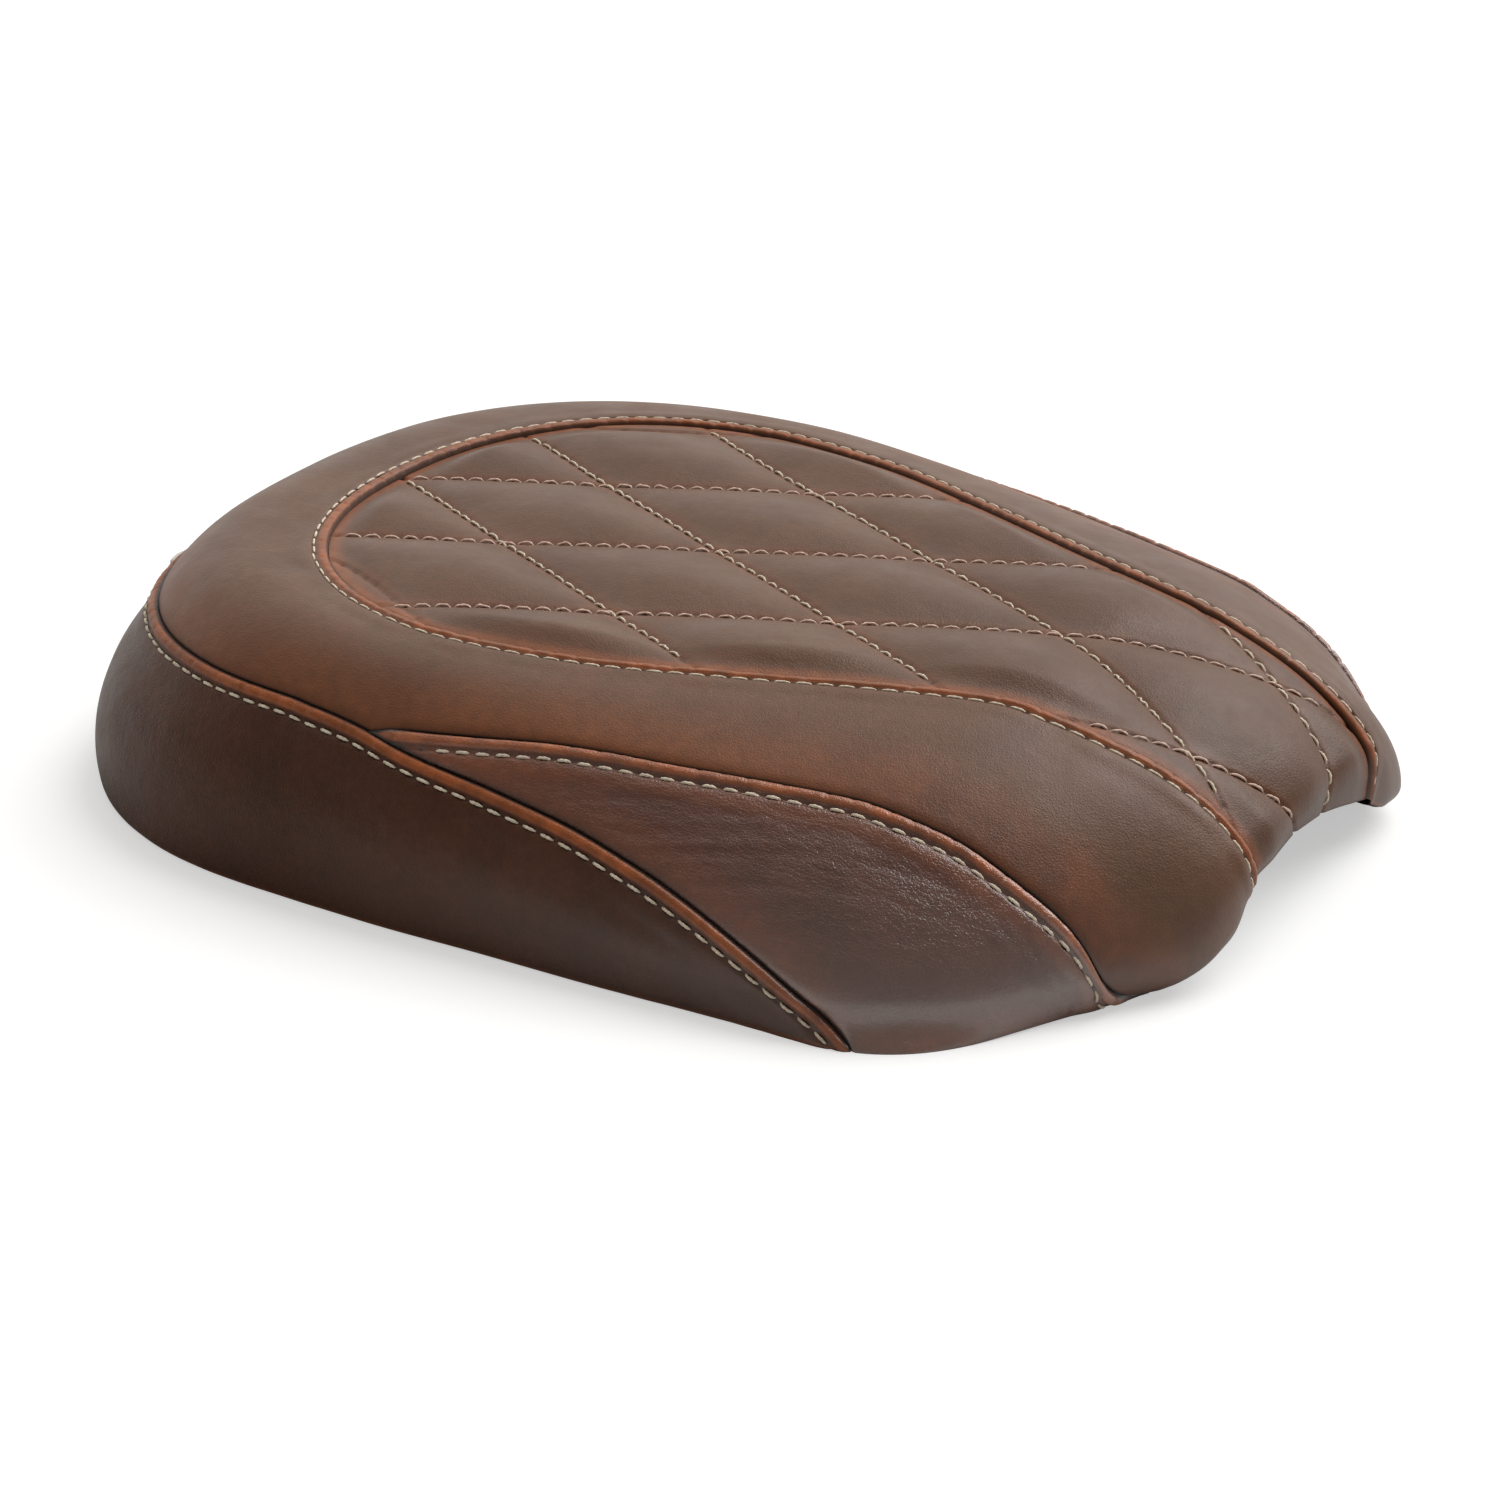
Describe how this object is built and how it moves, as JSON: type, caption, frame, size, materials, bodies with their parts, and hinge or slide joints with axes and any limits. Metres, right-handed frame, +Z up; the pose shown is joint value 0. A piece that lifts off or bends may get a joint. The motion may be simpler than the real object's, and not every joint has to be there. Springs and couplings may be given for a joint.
{
  "type": "motorcycle seat",
  "caption": "Low solo motorcycle seat: diamond-quilted leather top, panelled stitched cover over foam on a moulded pan, front tongue and rear tab with captive thumbscrew.",
  "frame": {"origin": "on the floor that the seat rests on, midway between the nose and the tip of the rear tab, on the centre plane", "axes": "+X forward to the nose, +Y to the rider's left, +Z up"},
  "size_m": [0.36, 0.2622, 0.062],
  "materials": {
    "top_leather": "satin",
    "side_leather": "glossy",
    "skirt_leather": "satin",
    "thread": "matte",
    "foam": "matte",
    "pan_plastic": "moulded grain",
    "bracket_paint": "satin black",
    "zinc_steel": "zinc plated",
    "rivet_aluminium": "plain",
    "bumper_rubber": "matte"
  },
  "bodies": {
    "seat": {"base_pan": "pan_plastic", "quilt_pad": "foam", "foam_core": "foam", "cover_inset": "top_leather", "cover_collar": "top_leather", "cover_side_left": "side_leather", "cover_side_right": "side_leather", "cover_skirt": "skirt_leather", "hem_rivets": "rivet_aluminium", "front_backing_plate": "bracket_paint", "front_hook": "bracket_paint", "front_hook_bolts": "zinc_steel", "front_hook_nuts": "zinc_steel", "rear_backing_plate": "bracket_paint", "rear_tab": "bracket_paint", "rear_tab_bolts": "zinc_steel", "rear_tab_nuts": "zinc_steel", "thumbscrew_washer": "zinc_steel", "bumper_screws": "zinc_steel", "bumper_front_left": "bumper_rubber", "bumper_front_right": "bumper_rubber", "bumper_rear_left": "bumper_rubber", "bumper_rear_right": "bumper_rubber"},
    "ring": {"retaining_ring": "zinc_steel"},
    "screw": {"thumbscrew": "zinc_steel"}
  },
  "joints": [
    {"name": "thumbscrew_lift", "type": "slide", "parent": "seat", "child": "ring", "axis": [0, 0, 1], "range_m": [0, 0.0028]},
    {"name": "thumbscrew_turn", "type": "hinge", "parent": "ring", "child": "screw", "pos_m": [-0.167, 0, 0.0075], "axis": [0, 0, 1], "continuous": true}
  ]
}
